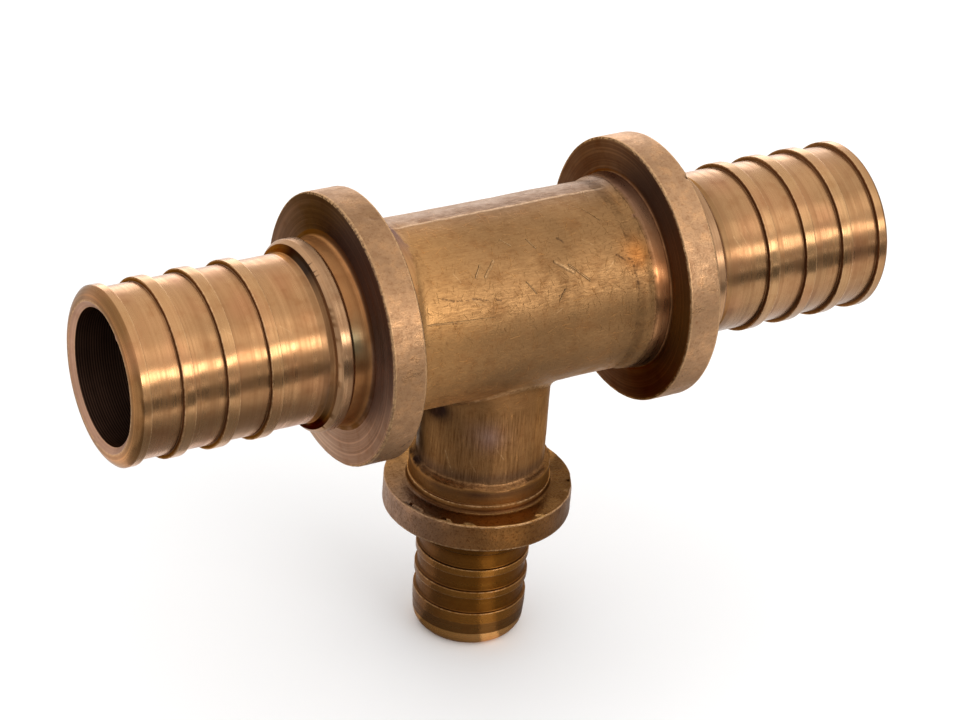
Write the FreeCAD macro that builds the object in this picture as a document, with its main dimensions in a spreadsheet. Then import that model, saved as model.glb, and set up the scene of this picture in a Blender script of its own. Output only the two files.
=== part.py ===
import FreeCAD, Part
import math
import os

import Sketcher

# Reducing tee for plastic pipe with sliding sleeves, one cast and turned bronze piece.
# The run lies along X, the smaller branch points down along -Z, and the two axes meet
# at the origin. Each tail carries the pipe on its ribs; the big flange behind it is
# what the press tool grips when the sleeve is pushed over the pipe. Millimetres.

SIZES = [
    # Run: two like tails, one to each side of the branch.
    ("run_reach", 49.25, "branch axis to the end of a run tail"),
    ("run_bore_diameter", 15.6, "waterway through the run"),
    ("run_mouth_diameter", 17.1, "countersink of the bore at the end face"),
    ("run_mouth_depth", 0.5, "depth of that countersink"),
    ("run_cast_diameter", 22.4, "cast barrel between the flanges"),
    ("run_flare_length", 1.46, "cast root that rises from the barrel to the turned band"),
    ("run_band_diameter", 23.5, "band turned beside the flange"),
    ("run_band_width", 2.7, "width of that band"),
    ("run_flange_start", 17.1, "branch axis to the near face of the flange"),
    ("run_flange_thickness", 4.1, "gripping flange"),
    ("run_flange_diameter", 31.7, "gripping flange"),
    ("run_flange_bevel", 0.25, "broken edges of the flange rim"),
    ("run_hub_diameter", 21.4, "hub between flange and stop ring"),
    ("run_shoulder_length", 4.2, "flange face to the foot of the stop ring"),
    ("run_ring_diameter", 22.15, "stop ring that the pipe end meets"),
    ("run_ring_width", 1.65, "stop ring with its bevel"),
    ("run_ring_bevel", 0.46, "front bevel of the stop ring"),
    ("run_land_diameter", 19.4, "plain land of the tail between the ribs"),
    ("run_crest_diameter", 20.4, "crests of the ribs and of the lip"),
    ("run_rib_width", 1.42, "rib"),
    ("run_rib_pitch", 5.22, "from rib to rib, and from the last one to the lip"),
    ("run_rib_count", 3, "ribs on each run tail, besides the lip"),
    ("run_lip_length", 1.83, "lip, from its inner face to the end of the tail"),
    ("run_crest_width", 1.0, "cylindrical crest of the lip"),
    # Branch: one smaller tail.
    ("branch_reach", 45.0, "run axis to the end of the branch tail"),
    ("branch_bore_diameter", 9.9, "waterway through the branch"),
    ("branch_mouth_diameter", 11.2, "countersink of the bore at the end face"),
    ("branch_mouth_depth", 0.45, "depth of that countersink"),
    ("branch_cast_diameter", 15.3, "cast neck above the flange"),
    ("branch_flare_length", 1.36, "cast root that rises from the neck to the turned band"),
    ("branch_band_diameter", 16.8, "band turned above the flange"),
    ("branch_band_width", 2.8, "width of that band"),
    ("branch_flange_start", 24.55, "run axis to the upper face of the flange"),
    ("branch_flange_thickness", 3.5, "gripping flange"),
    ("branch_flange_diameter", 22.6, "gripping flange"),
    ("branch_flange_bevel", 0.2, "broken edges of the flange rim"),
    ("branch_hub_diameter", 14.4, "hub between flange and stop ring"),
    ("branch_shoulder_length", 3.3, "flange face to the foot of the stop ring"),
    ("branch_ring_diameter", 14.9, "stop ring that the pipe end meets"),
    ("branch_ring_width", 1.04, "stop ring with its bevel"),
    ("branch_ring_bevel", 0.3, "front bevel of the stop ring"),
    ("branch_land_diameter", 13.04, "plain land of the tail between the ribs"),
    ("branch_crest_diameter", 13.7, "crests of the ribs and of the lip"),
    ("branch_rib_width", 1.05, "rib"),
    ("branch_rib_pitch", 3.13, "from rib to rib, and from the last one to the lip"),
    ("branch_rib_count", 2, "ribs on the branch tail, besides the lip"),
    ("branch_lip_length", 5.05, "lip, from its inner face to the end of the tail"),
    ("branch_crest_width", 1.45, "cylindrical crest of the lip"),
    ("branch_taper_length", 1.6, "slight taper that follows the crest"),
    ("branch_taper_drop", 0.12, "fall of that taper on the radius"),
    # The cast corner of the neck, and the mark of the mould.
    ("neck_fillet", 1.1, "cast fillet between barrel and neck"),
    ("seam_width", 0.6, "ground strip along the mould joint on top of the barrel"),
    ("seam_height", 0.1, "height of that strip above the barrel"),
    ("seam_root", 1.0, "depth of the strip's foot inside the barrel"),
    ("seam_offset", 0.3, "shift of the mould joint from the middle plane"),
    ("seam_length", 24.4, "length of the strip"),
]


def make_sheet(doc):
    """Put the driving dimensions in a spreadsheet, one alias to each."""
    sheet = doc.addObject("Spreadsheet::Sheet", "sizes")
    for row, (alias, value, note) in enumerate(SIZES, start=1):
        sheet.set(f"A{row}", alias)
        sheet.set(f"B{row}", str(value))
        sheet.set(f"C{row}", note)
        sheet.setAlias(f"B{row}", alias)
    doc.recompute()
    return sheet


def origin_feature(body, role):
    """The body's own origin plane or axis with this role."""
    return [item for item in body.Origin.OriginFeatures if item.Role == role][0]


def new_sketch(body, name, role):
    sketch = body.newObject("Sketcher::SketchObject", name)
    sketch.AttachmentSupport = [(origin_feature(body, role), "")]
    sketch.MapMode = "FlatFace"
    return sketch


def circle_sketch(body, name, role, diameter):
    """A circle about the origin, its diameter bound to an expression."""
    sketch = new_sketch(body, name, role)
    radius = body.evalExpression(diameter) / 2
    sketch.addGeometry(Part.Circle(FreeCAD.Vector(0, 0, 0), FreeCAD.Vector(0, 0, 1), radius))
    sketch.addConstraint(Sketcher.Constraint("Coincident", 0, 3, -1, 1))
    bind(sketch, Sketcher.Constraint("Diameter", 0, 2 * radius), diameter)
    return sketch


def bind(sketch, constraint, expression):
    index = sketch.addConstraint(constraint)
    sketch.setExpression(f"Constraints[{index}]", expression)


def arc_between(start, end, radius, side):
    """Arc from start to end with this radius; side 1 bulges left of the chord, -1 right."""
    middle = (start + end) / 2
    chord = end - start
    rise = (radius ** 2 - (chord.Length / 2) ** 2) ** 0.5
    left = FreeCAD.Vector(-chord.y, chord.x, 0).normalize()
    centre = middle - left * side * rise
    first, last = (end, start) if side > 0 else (start, end)
    first_angle = math.atan2(first.y - centre.y, first.x - centre.x)
    last_angle = math.atan2(last.y - centre.y, last.x - centre.x)
    circle = Part.Circle(centre, FreeCAD.Vector(0, 0, 1), radius)
    return Part.ArcOfCircle(circle, first_angle, last_angle)


def outline_sketch(body, name, corners, role="XZ_Plane"):
    """A closed outline. Each corner is (across, up) as expressions. A third entry, the
    radius as an expression with its side, makes the edge that leaves the corner an arc."""
    sketch = new_sketch(body, name, role)
    points = []
    for corner in corners:
        across = body.evalExpression(corner[0])
        points.append(FreeCAD.Vector(float(across), float(body.evalExpression(corner[1])), 0))
    for index, corner in enumerate(corners):
        start = points[index]
        end = points[(index + 1) % len(points)]
        if len(corner) == 2:
            sketch.addGeometry(Part.LineSegment(start, end))
        else:
            radius, side = corner[2]
            sketch.addGeometry(arc_between(start, end, float(body.evalExpression(radius)), side))
    starts = []
    ends = []
    for index, edge in enumerate(sketch.Geometry):
        forward = edge.StartPoint.distanceToPoint(points[index]) < 1e-6
        starts.append(1 if forward else 2)
        ends.append(2 if forward else 1)
    for index, corner in enumerate(corners):
        after = (index + 1) % len(corners)
        sketch.addConstraint(Sketcher.Constraint("Coincident", index, ends[index], after, starts[after]))
        spot = points[index]
        bind(sketch, Sketcher.Constraint("DistanceX", -1, 1, index, starts[index], spot.x), corner[0])
        bind(sketch, Sketcher.Constraint("DistanceY", -1, 1, index, starts[index], spot.y), corner[1])
        if len(corner) == 3:
            radius = float(body.evalExpression(corner[2][0]))
            bind(sketch, Sketcher.Constraint("Radius", index, radius), corner[2][0])
    return sketch


def revolve(body, name, sketch, role):
    """Turn an outline a full circle about an axis of the body."""
    feature = body.newObject("PartDesign::Revolution", name)
    feature.Profile = sketch
    feature.ReferenceAxis = (origin_feature(body, role), [""])
    feature.Angle = 360
    sketch.Visibility = False
    return feature


def mirror(body, name, originals):
    """Repeat features on the other side of the branch."""
    feature = body.newObject("PartDesign::Mirrored", name)
    feature.Originals = originals
    feature.MirrorPlane = (origin_feature(body, "YZ_Plane"), [""])
    body.Tip = feature
    return feature


def along_run(corner):
    """Place a (distance from the centre, radius) corner on the run."""
    return corner


def along_branch(corner):
    """Place a (distance from the centre, radius) corner on the branch, which points down."""
    placed = (corner[1], f"-({corner[0]})")
    if len(corner) == 3:
        radius, side = corner[2]
        placed = placed + ((radius, side),)
    return placed


def size(pipe, name):
    return f"sizes.{pipe}_{name}"


def radius_of(pipe, name):
    return f"sizes.{pipe}_{name}_diameter / 2"


def cast_end(pipe):
    """Distance from the centre to where the plain casting starts to flare."""
    band_start = f"{size(pipe, 'flange_start')} - {size(pipe, 'band_width')}"
    return f"({band_start} - {size(pipe, 'flare_length')})"


def end_corners(pipe, place, lip):
    """Turned end of one pipe: cast root, band, flange, hub, stop ring, land, lip and
    countersunk mouth."""
    flange_start = size(pipe, "flange_start")
    flange_end = f"{flange_start} + {size(pipe, 'flange_thickness')}"
    ring_foot = f"{flange_end} + {size(pipe, 'shoulder_length')}"
    bevel = size(pipe, "flange_bevel")
    ring_bevel = size(pipe, "ring_bevel")
    cast = radius_of(pipe, "cast")
    band = radius_of(pipe, "band")
    flange = radius_of(pipe, "flange")
    hub = radius_of(pipe, "hub")
    ring = radius_of(pipe, "ring")
    land = radius_of(pipe, "land")
    crest = radius_of(pipe, "crest")
    mouth_foot = f"{size(pipe, 'reach')} - {size(pipe, 'mouth_depth')}"
    band_start = f"{flange_start} - {size(pipe, 'band_width')}"
    lip_start = f"{size(pipe, 'reach')} - {size(pipe, 'lip_length')}"
    step = f"({ring} - {hub})"
    corners = [
        (cast_end(pipe), "0 mm"),
        (cast_end(pipe), cast),
        (band_start, band),
        (flange_start, band),
        (flange_start, f"{flange} - {bevel}"),
        (f"{flange_start} + {bevel}", flange),
        (f"{flange_end} - {bevel}", flange),
        (flange_end, f"{flange} - {bevel}"),
        (flange_end, hub),
        (f"{ring_foot} - {size(pipe, 'ring_width')} - {step}", hub),
        (f"{ring_foot} - {size(pipe, 'ring_width')}", ring),
        (f"{ring_foot} - {ring_bevel}", ring),
        (ring_foot, f"{ring} - {ring_bevel}"),
        (ring_foot, land),
        (lip_start, land),
        (lip_start, crest),
    ]
    corners += lip
    corners += [
        (size(pipe, "reach"), radius_of(pipe, "mouth")),
        (mouth_foot, radius_of(pipe, "bore")),
        (mouth_foot, "0 mm"),
    ]
    return [place(corner) for corner in corners]


def run_lip():
    """Crest of the run lip and the start of its round nose, which ends at the mouth."""
    crest_end = "sizes.run_reach - sizes.run_lip_length + sizes.run_crest_width"
    depth = "(sizes.run_lip_length - sizes.run_crest_width)"
    fall = "(sizes.run_crest_diameter - sizes.run_mouth_diameter) / 2"
    nose = f"(({fall}) ^ 2 + {depth} ^ 2) / (2 * {depth})"
    return [(crest_end, "sizes.run_crest_diameter / 2", (nose, 1))]


def branch_lip():
    """Crest of the branch lip, its slight taper and the start of its round nose."""
    crest_end = "sizes.branch_reach - sizes.branch_lip_length + sizes.branch_crest_width"
    taper_end = f"{crest_end} + sizes.branch_taper_length"
    crest = "sizes.branch_crest_diameter / 2"
    depth = "(sizes.branch_lip_length - sizes.branch_crest_width - sizes.branch_taper_length)"
    fall = f"({crest} - sizes.branch_taper_drop - sizes.branch_mouth_diameter / 2)"
    nose = f"({fall} ^ 2 + {depth} ^ 2) / (2 * {fall})"
    return [
        (crest_end, crest),
        (taper_end, f"{crest} - sizes.branch_taper_drop", (nose, 1)),
    ]


def rib_corners(pipe, place):
    """The rib that lies furthest from the end of the tail."""
    outer = f"{size(pipe, 'reach')} - {size(pipe, 'lip_length')}"
    near = f"{outer} - {size(pipe, 'rib_count')} * {size(pipe, 'rib_pitch')}"
    far = f"{near} + {size(pipe, 'rib_width')}"
    crest = radius_of(pipe, "crest")
    root = f"({radius_of(pipe, 'land')} + {radius_of(pipe, 'bore')}) / 2"
    corners = [
        (near, root),
        (near, crest),
        (far, crest),
        (far, root),
    ]
    return [place(corner) for corner in corners]


def cast_body(body):
    """Barrel of the run and neck of the branch, as they leave the mould."""
    barrel = body.newObject("PartDesign::Pad", "barrel")
    barrel.Profile = circle_sketch(body, "barrel_circle", "YZ_Plane", "sizes.run_cast_diameter")
    barrel.SideType = "Symmetric"
    barrel.setExpression("Length", f"2 * {cast_end('run')}")
    body.Document.recompute()
    neck = body.newObject("PartDesign::Pad", "neck")
    neck.Profile = circle_sketch(body, "neck_circle", "XY_Plane", "sizes.branch_cast_diameter")
    neck.Reversed = True
    neck.setExpression("Length", cast_end("branch"))
    body.Document.recompute()
    root = body.newObject("PartDesign::Fillet", "neck_root")
    root.Base = (neck, saddle_edges(neck.Shape))
    root.setExpression("Radius", "sizes.neck_fillet")
    body.Document.recompute()


def saddle_edges(shape):
    """Names of the edges where the neck runs into the barrel."""
    names = []
    for index, edge in enumerate(shape.Edges, start=1):
        faces = shape.ancestorsOfType(edge, Part.Face)
        axes = [face.Surface.Axis for face in faces if isinstance(face.Surface, Part.Cylinder)]
        if len(axes) == 2 and abs(axes[0].dot(axes[1])) < 0.5:
            names.append(f"Edge{index}")
    return names


def seam(body):
    """Ground strip that marks the mould joint on top of the barrel."""
    top = "sizes.run_cast_diameter / 2"
    left = "sizes.seam_offset - sizes.seam_width / 2"
    right = "sizes.seam_offset + sizes.seam_width / 2"
    corners = [
        (left, f"{top} - sizes.seam_root"),
        (right, f"{top} - sizes.seam_root"),
        (right, f"{top} + sizes.seam_height"),
        (left, f"{top} + sizes.seam_height"),
    ]
    strip = body.newObject("PartDesign::Pad", "seam")
    strip.Profile = outline_sketch(body, "seam_section", corners, role="YZ_Plane")
    strip.SideType = "Symmetric"
    strip.setExpression("Length", "sizes.seam_length")
    body.Document.recompute()


def run_ends(body):
    """The two turned ends of the run, the second mirrored from the first."""
    corners = end_corners("run", along_run, run_lip())
    outline = outline_sketch(body, "run_end_outline", corners)
    end = revolve(body, "run_end", outline, "X_Axis")
    body.Document.recompute()
    mirror(body, "run_end_mirrored", [end])
    body.Document.recompute()
    ribs(body, "run", along_run, "X_Axis", mirrored=True)


def branch_end(body):
    """The turned end of the branch."""
    corners = end_corners("branch", along_branch, branch_lip())
    outline = outline_sketch(body, "branch_end_outline", corners)
    revolve(body, "branch_end", outline, "Z_Axis")
    body.Document.recompute()
    ribs(body, "branch", along_branch, "Z_Axis", mirrored=False)


def ribs(body, pipe, place, role, mirrored):
    """Ribs of one tail as a pattern towards its end, and on the other tail as well."""
    outline = outline_sketch(body, f"{pipe}_rib_outline", rib_corners(pipe, place))
    rib = revolve(body, f"{pipe}_rib", outline, role)
    body.Document.recompute()
    pattern = body.newObject("PartDesign::MultiTransform", f"{pipe}_ribs")
    row = body.newObject("PartDesign::LinearPattern", f"{pipe}_rib_row")
    row.Direction = (origin_feature(body, role), [""])
    row.Reversed = pipe == "branch"
    row.Mode = "Spacing"
    row.setExpression("Offset", size(pipe, "rib_pitch"))
    row.setExpression("Occurrences", size(pipe, "rib_count"))
    steps = [row]
    if mirrored:
        flip = body.newObject("PartDesign::Mirrored", f"{pipe}_rib_flip")
        flip.MirrorPlane = (origin_feature(body, "YZ_Plane"), [""])
        steps.append(flip)
    pattern.Originals = [rib]
    pattern.Transformations = steps
    body.Tip = pattern
    body.Document.recompute()


def bores(body):
    """Waterways of the run and of the branch, which meet in the middle."""
    run = body.newObject("PartDesign::Pocket", "run_bore")
    run.Profile = circle_sketch(body, "run_bore_circle", "YZ_Plane", "sizes.run_bore_diameter")
    run.SideType = "Symmetric"
    run.setExpression("Length", "2 * sizes.run_reach")
    body.Document.recompute()
    branch = body.newObject("PartDesign::Pocket", "branch_bore")
    branch.Profile = circle_sketch(body, "branch_bore_circle", "XY_Plane", "sizes.branch_bore_diameter")
    branch.setExpression("Length", "sizes.branch_reach")
    body.Document.recompute()


def make_tee(doc):
    body = doc.addObject("PartDesign::Body", "tee_body")
    body.Label = "tee_body"
    cast_body(body)
    seam(body)
    run_ends(body)
    branch_end(body)
    bores(body)
    return body


def check(doc):
    """Stop if any object failed, or if a cut took nothing away."""
    for item in doc.Objects:
        if "Invalid" in item.State or "Error" in item.State:
            raise RuntimeError(f"{item.Name} failed: {item.State}")
        if item.TypeId == "PartDesign::Pocket":
            before = item.BaseFeature.Shape.Volume
            if item.Shape.Volume >= before - 1e-6:
                raise RuntimeError(f"{item.Name} cuts nothing")


def export(bodies):
    for body in bodies:
        shape = body.Shape
        if shape.isNull() or not shape.isValid() or len(shape.Solids) != 1:
            raise RuntimeError(f"{body.Label} isn't one valid solid")
    os.makedirs("parts", exist_ok=True)
    for body in bodies:
        body.Shape.exportStep(f"parts/{body.Label}.step")
        print(body.Label, "volume", round(body.Shape.Volume, 1), "box", body.Shape.BoundBox)


def main():
    doc = FreeCAD.newDocument("pex_tee")
    make_sheet(doc)
    tee = make_tee(doc)
    doc.recompute()
    check(doc)
    export([tee])


main()
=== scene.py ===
import math

import bmesh
import bpy
from mathutils import Matrix, Vector, noise
from mathutils.kdtree import KDTree


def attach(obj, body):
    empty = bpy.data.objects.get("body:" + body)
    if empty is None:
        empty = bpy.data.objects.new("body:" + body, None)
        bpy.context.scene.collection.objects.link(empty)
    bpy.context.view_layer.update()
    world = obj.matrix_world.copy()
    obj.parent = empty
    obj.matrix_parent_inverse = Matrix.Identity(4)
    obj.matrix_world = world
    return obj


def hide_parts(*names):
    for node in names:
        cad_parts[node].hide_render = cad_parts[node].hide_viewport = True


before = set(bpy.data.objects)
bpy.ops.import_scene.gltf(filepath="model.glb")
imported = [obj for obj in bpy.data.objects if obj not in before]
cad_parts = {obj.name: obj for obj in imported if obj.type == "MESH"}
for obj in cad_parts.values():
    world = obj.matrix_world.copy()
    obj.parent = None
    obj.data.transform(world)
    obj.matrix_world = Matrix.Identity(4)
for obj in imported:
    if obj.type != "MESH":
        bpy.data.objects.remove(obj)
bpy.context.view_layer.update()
mm = 0.001

# The run of the tee: barrel, two gripping flanges and two ribbed tails. It is cast in bronze,
# and each end is then turned on a lathe. Only the barrel keeps its casting skin.
# Lengths are in millimetres: stations along X from the middle, and radii from the axis.
BARREL = 11.2
BARREL_END = 12.5
SKIN_END = 17.0
SKIN_LEAST, SKIN_MOST = 10, 12
BAND = 11.75
BAND_TAPER = 0.111
FLANGE_START = 17.1
FLANGE_END = 21.2
RIM = 15.85
RIM_LEAST = 15.5
HUB_FOOT = 10.85
RING = 11.075
LAND = 9.7
CREST = 10.2
FIRST_RIB = 31.76
RIB_PITCH = 5.22
RIB_WIDTH = 1.42
RIB_COUNT = 3
LIP_START = 47.42
LIP_CREST_END = 48.42
NOSE_RADIUS = 2.055
RUN_END = 49.25
RUN_MOUTH = 8.55
RUN_MOUTH_FOOT = 48.75
RUN_BORE = 7.8
RUN_BORE_SPACING = 6.0

# A corner is (station, radius, rounding, spacing of the rings that follow, zone that follows).
# Where the spacing is negative, a round nose of that radius follows.
run_corners = [
    (0.0, BARREL, 0, 0.66, "barrel"),
    (11.9, BARREL, 0, 0.28, "barrel"),
    (14.4, BAND - 0.30, 0, 0.5, "band"),
    (FLANGE_START, BAND, 0.30, 0.8, "inner_face"),
    (FLANGE_START, RIM, 0.24, 0.7, "rim"),
    (FLANGE_END, RIM, 0.26, 0.8, "outer_face"),
    (FLANGE_END, HUB_FOOT, 0.75, 0.8, "hub"),
    (23.375, 10.62, 0.15, 1.0, "hub"),
    (23.75, RING, 0.08, 0.8, "ring"),
    (24.94, RING, 0.10, 0.8, "ring"),
    (25.40, 10.615, 0.05, 0.5, "ring_face"),
    (25.50, 10.16, 0.30, 0.5, "ring_face"),
    (25.98, 9.74, 0.30, 0.5, "relief"),
    (26.80, LAND, 0.0, 1.1, "land"),
]
for number in range(RIB_COUNT):
    start = FIRST_RIB + RIB_PITCH * number
    run_corners += [
        (start, LAND, 0.10, 0.9, "rib_side"),
        (start, CREST, 0.07, 0.9, "crest"),
        (start + RIB_WIDTH, CREST, 0.10, 0.9, "rib_side"),
        (start + RIB_WIDTH, LAND, 0.12, 1.1, "land"),
    ]
run_corners += [
    (LIP_START, LAND, 0.10, 0.9, "rib_side"),
    (LIP_START, CREST, 0.07, 0.9, "crest"),
    (LIP_CREST_END, CREST, 0, -NOSE_RADIUS, "nose"),
    (RUN_END, RUN_MOUTH, 0.05, 0.4, "mouth"),
    (RUN_MOUTH_FOOT, RUN_BORE, 0.05, RUN_BORE_SPACING, "bore"),
    (0.0, RUN_BORE, 0, RUN_BORE_SPACING, "bore"),
]

LEG_SHARE = 0.45
SHARP_TURN = 1.0
NOSE_STEPS = 6
EDGE_GAP = 0.1
SHORT_STRAIGHT = 0.7


def corner_rings(corners, i):
    """Rings of one corner, rounded where it has a rounding: (point, zone, edge), where edge is
    1 on an outer edge, -1 in an inner corner and 0 elsewhere."""
    station, radius, rounding, _, zone = corners[i]
    here = Vector((station, radius))
    if rounding == 0 or i in (0, len(corners) - 1):
        return [(here, zone, 0)]
    before = Vector(corners[i - 1][:2]) - here
    after = Vector(corners[i + 1][:2]) - here
    turn = math.pi - before.angle(after)
    leg = min(rounding * math.tan(turn / 2), LEG_SHARE * before.length, LEG_SHARE * after.length)
    a = here + before.normalized() * leg
    b = here + after.normalized() * leg
    edge = 1 if before.x * after.y - before.y * after.x > 0 else -1
    steps = 3 if turn > SHARP_TURN else 2
    rings = []
    for k in range(steps + 1):
        t = k / steps
        point = a * (1 - t) ** 2 + here * 2 * t * (1 - t) + b * t ** 2
        rings.append((point, corners[i - 1][4] if t < 0.5 else zone, edge))
    return rings


def nose_rings(a, b, radius, zone):
    """Rings of a round nose from a to b: an arc of this radius that bulges outwards."""
    chord = b - a
    rise = math.sqrt(radius ** 2 - (chord.length / 2) ** 2)
    left = Vector((-chord.y, chord.x)).normalized()
    centre = (a + b) / 2 - left * rise
    start = math.atan2(a.y - centre.y, a.x - centre.x)
    sweep = 2 * math.asin(chord.length / 2 / radius)
    rings = []
    for k in range(1, NOSE_STEPS):
        angle = start - sweep * k / NOSE_STEPS
        point = centre + Vector((math.cos(angle), math.sin(angle))) * radius
        rings.append((point, zone, 0))
    return rings


def straight_rings(a, b, spacing, zone):
    """Rings that divide a straight, and one close to each of its ends, so that the light
    doesn't smear over the corner."""
    length = (b - a).length
    marks = []
    if length > SHORT_STRAIGHT:
        marks = [EDGE_GAP / length, 1 - EDGE_GAP / length]
    count = max(1, round(length / spacing))
    marks += [k / count for k in range(1, count)]
    return [(a.lerp(b, t), zone, 0) for t in sorted(marks)]


def outline_rings(corners):
    """All rings along one outline, from its first corner to its last."""
    rings = []
    tips = [corner_rings(corners, i) for i in range(len(corners))]
    for (_, _, _, spacing, zone), tip, following in zip(corners, tips, tips[1:]):
        a, b = tip[-1][0], following[0][0]
        rings += tip
        if spacing < 0:
            rings += nose_rings(a, b, -spacing, zone)
        else:
            rings += straight_rings(a, b, spacing, zone)
    return rings + tips[-1]


def spin_outline(rings, place, axis, sweeps):
    """Closed ring surface: the outline set on its axis and spun in the given sweeps, each
    (degrees, steps)."""
    bm = bmesh.new()
    loop = [bm.verts.new(place(point)) for point, _, _ in rings]
    edges = [bm.edges.new((loop[i], loop[(i + 1) % len(loop)])) for i in range(len(loop))]
    geom = loop + edges
    for angle, steps in sweeps:
        made = bmesh.ops.spin(bm, geom=geom, cent=(0, 0, 0), axis=axis, dvec=(0, 0, 0),
                              angle=math.radians(angle), steps=steps, use_merge=False,
                              use_normal_flip=False, use_duplicate=False)
        geom = made["geom_last"]
    bmesh.ops.remove_doubles(bm, verts=bm.verts, dist=0.002 * mm)
    bmesh.ops.recalc_face_normals(bm, faces=bm.faces)
    return bm


# One half of the run's outline and its mirror image. Their shared points in the middle, on the
# barrel and in the bore, are kept once.
half = outline_rings(run_corners)
mirrored = [(Vector((-point.x, point.y)), zone, edge) for point, zone, edge in reversed(half)]
run_outline = mirrored[:-1] + half[:-1]

# The fine columns lie under the mould seam, on top of the barrel.
FINE_SWEEP = (20, 24)
REST_SWEEP = (340, 152)
run = spin_outline(run_outline, lambda point: Vector((point.x, 0, point.y)) * mm, (1, 0, 0),
                   [FINE_SWEEP, REST_SWEEP])
bmesh.ops.rotate(run, verts=run.verts, cent=(0, 0, 0),
                 matrix=Matrix.Rotation(math.radians(FINE_SWEEP[0] / 2), 3, "X"))

SEAM = 0.3
SEAM_WIDTH = 0.34
SEAM_HEIGHT = 0.15
LEFT_ROOT = 14.6
LEFT_CUT_BACK = 2.0
RIGHT_ROOT = 13.7
SWELL_LENGTH = 2.4
SWELL_MOST = 6


def rough(p, size, seed=0.0):
    """Smooth lumps about one size across, from -1 to 1; p in millimetres."""
    return noise.noise(p / size + Vector((seed, seed * 1.7, -seed)))


def bell(value, middle, width):
    """1 at the middle, falling smoothly to both sides."""
    return math.exp(-((value - middle) / width) ** 2)


def band_radius(x):
    """The turned band beside a flange, which falls a little towards the barrel."""
    return BAND - BAND_TAPER * (FLANGE_START - abs(x))


def barrel_skin(p):
    """Waviness of the barrel's casting skin, broad and fine."""
    return 0.07 * rough(p, size=6.5) + 0.03 * rough(p, size=1.7, seed=2)


def cast_radius(x, angle):
    """Casting skin of the barrel, which swells into each flange. The swell starts earlier on
    top of the left side, so more of it was turned away there."""
    around = Vector((math.cos(angle), math.sin(angle), 0)) * 9
    if x < 0:
        top = max(0.0, math.cos(angle - math.radians(80))) ** 3
        root = LEFT_ROOT - LEFT_CUT_BACK * top + 0.30 * rough(around, size=2.2, seed=3)
    else:
        root = (RIGHT_ROOT + 0.30 * rough(around, size=2.6, seed=5)
                + 0.10 * rough(around, size=0.7, seed=6))
    swell = max(0.0, abs(x) - root) / SWELL_LENGTH
    return BARREL + min(swell * swell, SWELL_MOST)


def uneven_run(p, r):
    """The radius at one place of the run, once its skin and its rims are uneven."""
    if abs(p.x) < SKIN_END and SKIN_LEAST < r < SKIN_MOST:
        skin = cast_radius(p.x, math.atan2(p.z, -p.y)) + barrel_skin(p)
        if p.z > 0:
            # A low ridge along the top where the two halves of the mould met.
            uneven = 0.8 + 0.3 * rough(p, size=2.5, seed=8)
            skin += SEAM_HEIGHT * bell(p.y, SEAM, SEAM_WIDTH) * uneven
        return min(skin, band_radius(p.x)) if abs(p.x) > BARREL_END else skin
    if r > RIM_LEAST:
        # The left rim is rougher underneath.
        lower = max(0.0, -p.z / 16) if p.x < 0 else 0.25
        pits = 0.05 * abs(rough(p, size=1.3, seed=4)) * (0.4 + lower)
        return r - pits - 0.03 * (1 + rough(p, size=8, seed=1))
    return r


for v in run.verts:
    p = v.co / mm
    r = math.hypot(p.y, p.z)
    uneven = uneven_run(p, r)
    if uneven != r:
        v.co = Vector((p.x, p.y * uneven / r, p.z * uneven / r)) * mm

# The branch: a plain cast neck and a smaller turned end with two ribs and a lip. It is one
# casting with the run, and its stations are counted down from the middle of the run.
NECK = 7.65
NECK_TOP = 8.0
NECK_ROOT = 21.05
NECK_SWELL_LENGTH = 0.4
NECK_SKIN_END = 23.45
FOOT = 8.4
FOOT_STEP = 8.56
BRANCH_FLANGE_START = 24.55
BRANCH_FLANGE_END = 28.05
BRANCH_RIM = 11.3
BRANCH_RIM_LEAST = 11.0
BRANCH_HUB = 7.2
BRANCH_RING = 7.45
BRANCH_LAND = 6.52
BRANCH_CREST = 6.85
BRANCH_RIBS = (33.69, 36.82)
BRANCH_RIB_WIDTH = 1.05
BRANCH_LIP = 39.95
BRANCH_NOSE_RADIUS = 2.3
BRANCH_END = 45.0
BRANCH_MOUTH = 5.60
BRANCH_BORE = 4.95
BRANCH_COLUMNS = 126

branch_corners = [
    (NECK_TOP, NECK, 0, 0.42, "neck"),
    (20.2, NECK, 0, 0.2, "neck"),
    (22.0, FOOT, 0, 0.5, "foot"),
    (23.46, FOOT, 0.04, 0.5, "foot"),
    (23.50, FOOT_STEP, 0.04, 0.5, "foot"),
    (BRANCH_FLANGE_START, FOOT_STEP, 0.42, 0.7, "branch_top"),
    (BRANCH_FLANGE_START, BRANCH_RIM, 0.22, 0.5, "branch_rim"),
    (BRANCH_FLANGE_END, BRANCH_RIM, 0.22, 0.8, "branch_under"),
    (BRANCH_FLANGE_END, BRANCH_HUB, 0.30, 0.7, "branch_hub"),
    (29.80, BRANCH_HUB, 0.10, 0.8, "branch_hub"),
    (30.05, BRANCH_RING, 0.08, 0.8, "branch_ring"),
    (31.05, BRANCH_RING, 0.08, 0.8, "branch_ring"),
    (31.35, 7.15, 0.05, 0.8, "branch_ring"),
    (31.35, BRANCH_LAND, 0.10, 0.9, "branch_land"),
]
for start in BRANCH_RIBS:
    branch_corners += [
        (start, BRANCH_LAND, 0.22, 0.9, "branch_side"),
        (start, BRANCH_CREST, 0.20, 0.9, "branch_crest"),
        (start + BRANCH_RIB_WIDTH, BRANCH_CREST, 0.20, 0.9, "branch_side"),
        (start + BRANCH_RIB_WIDTH, BRANCH_LAND, 0.22, 0.9, "branch_land"),
    ]
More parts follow.
